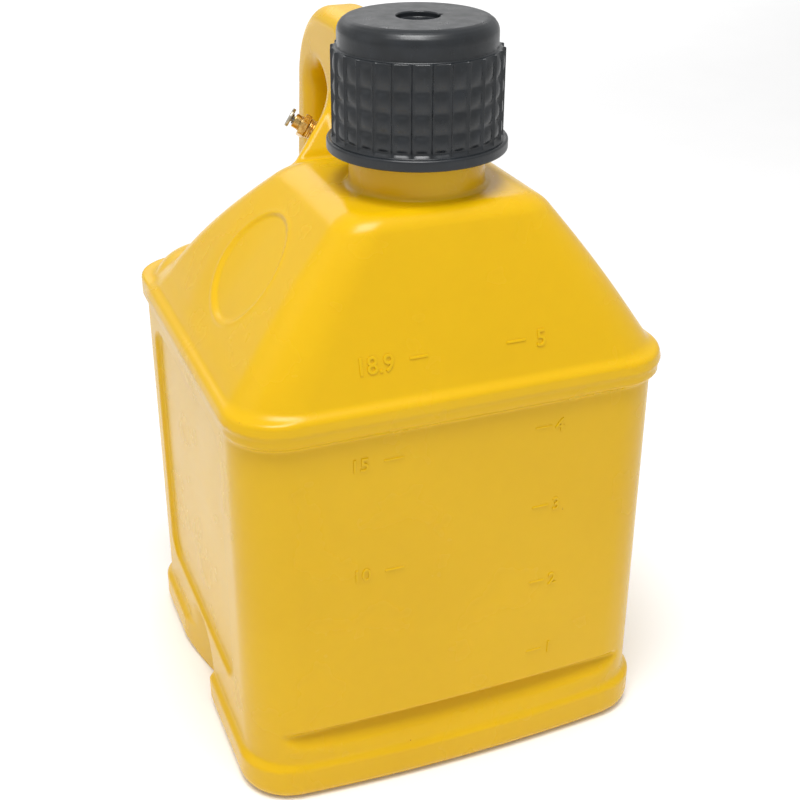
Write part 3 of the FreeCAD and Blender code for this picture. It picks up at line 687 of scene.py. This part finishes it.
def dash_points(left, right, level):
    """Low rounded bar for one level line."""
    steps = 8
    points, faces = [], []
    for step in range(steps + 1):
        across = left + (right - left) * step / steps
        points += [(across, level - 0.9, -0.5), (across, level - 0.5, 0.6),
                   (across, level + 0.5, 0.6), (across, level + 0.9, -0.5)]
        if step:
            base = 4 * (step - 1)
            faces += [(base + k, base + 4 + k, base + 5 + k, base + 1 + k) for k in range(3)]
    faces += [(0, 1, 2, 3), (4 * steps + 3, 4 * steps + 2, 4 * steps + 1, 4 * steps)]
    return np.array(points), faces


make_jug()
make_cap()
make_threads()
make_vent_barrel()
make_vent_button()
make_vent_spring()
make_marks()


# ------------------------------------------------------------------ materials

class Finish:
    """Small helper round one node material, textured in the object's own metres."""

    def __init__(self, name, metallic=0.0):
        self.material = bpy.data.materials.new(name)
        self.material.use_nodes = True
        self.nodes = self.material.node_tree.nodes
        self.links = self.material.node_tree.links
        self.shader = self.nodes["Principled BSDF"]
        self.set("Metallic", metallic)
        self.coordinates = self.nodes.new("ShaderNodeTexCoord").outputs["Object"]
        self.height = None

    def set(self, socket, value):
        """Give a socket of the shader a plain value."""
        self.shader.inputs[socket].default_value = value

    def noise(self, size, detail=3.0, stretch=(1, 1, 1)):
        """Cloudy value from 0 to 1 whose patches are about the given size in millimetres."""
        mapping = self.nodes.new("ShaderNodeMapping")
        mapping.inputs["Scale"].default_value = stretch
        self.links.new(self.coordinates, mapping.inputs["Vector"])
        texture = self.nodes.new("ShaderNodeTexNoise")
        texture.inputs["Scale"].default_value = 1000.0 / size
        texture.inputs["Detail"].default_value = detail
        self.links.new(mapping.outputs["Vector"], texture.inputs["Vector"])
        return texture.outputs["Fac"]

    def ramp(self, value, low, high, colours):
        """Spread of a value between two stops, as colours."""
        ramp = self.nodes.new("ShaderNodeValToRGB")
        for element, place, colour in zip(ramp.color_ramp.elements, (low, high), colours):
            element.position = place
            element.color = (*colour, 1)
        self.links.new(value, ramp.inputs["Fac"])
        return ramp.outputs["Color"]

    def blend(self, amount, first, second, mode="MIX"):
        """Mix of two colours, by a value or a number."""
        mix = self.nodes.new("ShaderNodeMix")
        mix.data_type = "RGBA"
        mix.blend_type = mode
        for socket, value in ((0, amount), (6, first), (7, second)):
            if isinstance(value, (int, float)):
                mix.inputs[socket].default_value = value
            elif isinstance(value, tuple):
                mix.inputs[socket].default_value = (*value, 1)
            else:
                self.links.new(value, mix.inputs[socket])
        return mix.outputs[2]

    def paint(self, colour):
        """Link a colour to the shader's base colour."""
        self.links.new(colour, self.shader.inputs["Base Color"])

    def gloss(self, value, low, high):
        """Roughness that wanders between two values."""
        spread = self.nodes.new("ShaderNodeMapRange")
        spread.inputs["From Min"].default_value = 0.3
        spread.inputs["From Max"].default_value = 0.7
        spread.inputs["To Min"].default_value = low
        spread.inputs["To Max"].default_value = high
        self.links.new(value, spread.inputs["Value"])
        self.links.new(spread.outputs["Result"], self.shader.inputs["Roughness"])

    def bump(self, value, depth, strength=1.0):
        """Relief of the given depth in millimetres, on top of any relief already there."""
        relief = self.nodes.new("ShaderNodeBump")
        relief.inputs["Distance"].default_value = depth * MM
        relief.inputs["Strength"].default_value = strength
        self.links.new(value, relief.inputs["Height"])
        if self.height:
            self.links.new(self.height, relief.inputs["Normal"])
        self.height = relief.outputs["Normal"]
        self.links.new(self.height, self.shader.inputs["Normal"])


def yellow_polyethylene():
    """Blown plastic: smooth and waxy, with faint clouding, orange peel and rare dark flecks."""
    finish = Finish("yellow_polyethylene")
    clouds = finish.ramp(finish.noise(120, 2), 0.30, 0.70, ((0.672, 0.398, 0.0016), (0.700, 0.420, 0.0022)))
    fine = finish.ramp(finish.noise(9, 3), 0.30, 0.70, ((0.985, 0.985, 0.98), (1, 1, 1)))
    colour = finish.blend(1.0, clouds, fine, "MULTIPLY")
    flecks = finish.ramp(finish.noise(2.6, 2), 0.175, 0.195, ((0.50, 0.30, 0.02), (1, 1, 1)))
    finish.paint(finish.blend(1.0, colour, flecks, "MULTIPLY"))
    finish.gloss(finish.noise(40, 3), 0.23, 0.29)
    finish.bump(finish.noise(60, 2), 0.07)
    finish.bump(finish.noise(2.4, 2), 0.0035)
    finish.bump(finish.noise(1.1, 3, (1, 1, 0.10)), 0.0015)
    finish.set("IOR", 1.50)
    finish.set("Specular IOR Level", 0.27)
    finish.set("Subsurface Weight", 0.12)
    finish.set("Subsurface Radius", (1.0, 0.55, 0.05))
    finish.set("Subsurface Scale", 0.005)
    return finish.material


def charcoal_plastic():
    """Moulded cap plastic: blue-black, fine grain, a dusty film and slightly paler wear."""
    finish = Finish("charcoal_plastic")
    dust = finish.ramp(finish.noise(14, 5), 0.38, 0.68, ((0.0072, 0.0090, 0.0108), (0.0118, 0.0145, 0.0180)))
    rub = finish.ramp(finish.noise(1.6, 5, (1, 1, 0.25)), 0.60, 0.80, ((0, 0, 0), (0.009, 0.010, 0.012)))
    finish.paint(finish.blend(1.0, dust, rub, "ADD"))
    finish.gloss(finish.noise(9, 5), 0.26, 0.40)
    finish.bump(finish.noise(0.9, 3), 0.016)
    finish.bump(finish.noise(11, 3), 0.06)
    finish.set("IOR", 1.5)
    return finish.material


def black_rubber(name, shade):
    """Dull rubber with a chalky bloom."""
    finish = Finish(name)
    dark = (shade, shade, shade)
    dusty = (shade * 2, shade * 2, shade * 1.9)
    bloom = finish.ramp(finish.noise(5, 4), 0.4, 0.7, (dark, dusty))
    finish.paint(bloom)
    finish.gloss(finish.noise(3, 4), 0.6, 0.8)
    finish.bump(finish.noise(0.5, 3), 0.02)
    return finish.material


def machined_metal(name, bright, dull, low, high):
    """Turned metal with fine tool marks, tarnish and small dents."""
    finish = Finish(name, metallic=1.0)
    finish.paint(finish.ramp(finish.noise(3.2, 4), 0.36, 0.66, (dull, bright)))
    finish.gloss(finish.noise(1.1, 4), low, high)
    finish.bump(finish.noise(0.22, 2), 0.010)
    finish.bump(finish.noise(2.4, 3), 0.05)
    return finish.material


FINISHES = {
    "can_body": yellow_polyethylene(),
    "cap": charcoal_plastic(),
    "gasket": black_rubber("gasket_rubber", 0.03),
    "vent_brass": machined_metal("machined_brass", (0.86, 0.61, 0.24), (0.50, 0.30, 0.09), 0.16, 0.34),
    "vent_button": machined_metal("worn_nickel_brass", (0.55, 0.50, 0.40), (0.26, 0.23, 0.17), 0.22, 0.42),
    "vent_seal": black_rubber("seal_rubber", 0.025),
    "spring_steel": machined_metal("spring_wire", (0.66, 0.66, 0.66), (0.42, 0.42, 0.43), 0.2, 0.35),
}
slots = {part["node"]: part["material_slot"] for part in frame["record"]["subparts"]}
for name, node in frame["nodes"].items():
    node.data.materials.clear()
    node.data.materials.append(FINISHES[slots[name]])
for item in list(bpy.data.objects):
    if "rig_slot" in item:
        item.data.materials.clear()
        item.data.materials.append(FINISHES[item["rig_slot"]])


# -------------------------------------------------------- floor, light, camera

def area_light(name, place, target, width, height, power):
    """Rectangular lamp that faces a target."""
    lamp = bpy.data.lights.new(name, "AREA")
    lamp.shape = "RECTANGLE"
    lamp.size, lamp.size_y = width, height
    lamp.energy = power
    item = bpy.data.objects.new(name, lamp)
    bpy.context.collection.objects.link(item)
    item.location = place
    item.rotation_euler = (Vector(target) - Vector(place)).to_track_quat("-Z", "Y").to_euler()


def make_floor():
    """Pale floor, wide enough to fill every view."""
    reach = 6000
    corners = [(-reach, -reach, 0), (reach, -reach, 0), (reach, reach, 0), (-reach, reach, 0)]
    floor = new_object("studio_floor", corners, [(0, 1, 2, 3)])
    finish = Finish("pale_floor")
    finish.paint(finish.ramp(finish.noise(400, 2), 0.3, 0.7, ((0.955, 0.955, 0.955), (0.975, 0.975, 0.975))))
    finish.gloss(finish.noise(60, 3), 0.6, 0.75)
    floor.data.materials.append(finish.material)


def make_light():
    """Bright white room: a key overhead towards the front, a weak left light and one for the floor behind."""
    world = bpy.data.worlds.new("studio")
    bpy.context.scene.world = world
    world.use_nodes = True
    world.node_tree.nodes["Background"].inputs["Color"].default_value = (1, 1, 1, 1)
    world.node_tree.nodes["Background"].inputs["Strength"].default_value = 0.62
    area_light("overhead_light", (-0.3, -0.6, 2.2), (0, -0.05, 0.3), 1.0, 1.0, 38)
    area_light("left_light", (-2.3, 0.1, 1.5), (0, 0, 0.3), 1.6, 1.6, 3)
    area_light("back_floor_light", (0.4, 4.2, 2.2), (0.4, 4.8, 0), 4.0, 3.0, 95)


make_floor()
make_light()
bpy.context.scene.view_settings.view_transform = "Standard"


def add_camera():
    """Camera turned to the jug's left and raised, with the whole jug in view."""
    target, distance = Vector((6.8, 0, 212.1)), 892.6
    turn, tilt = math.radians(-21.3), math.radians(26.6)
    back = Vector((math.sin(turn) * math.cos(tilt), -math.cos(turn) * math.cos(tilt), math.sin(tilt)))
    right = Vector((math.cos(turn), math.sin(turn), 0))
    up = back.cross(right)
    place = target + back * distance
    data = bpy.data.cameras.new("camera")
    data.sensor_width = 36.0
    data.lens = 59.55
    data.shift_x = 0.0075
    data.shift_y = -0.0225
    data.clip_start = 0.01
    camera = bpy.data.objects.new("camera", data)
    bpy.context.collection.objects.link(camera)
    basis = Matrix((right, up, back)).transposed().to_4x4()
    camera.matrix_world = Matrix.Translation(place * MM) @ basis
    bpy.context.scene.camera = camera


add_camera()
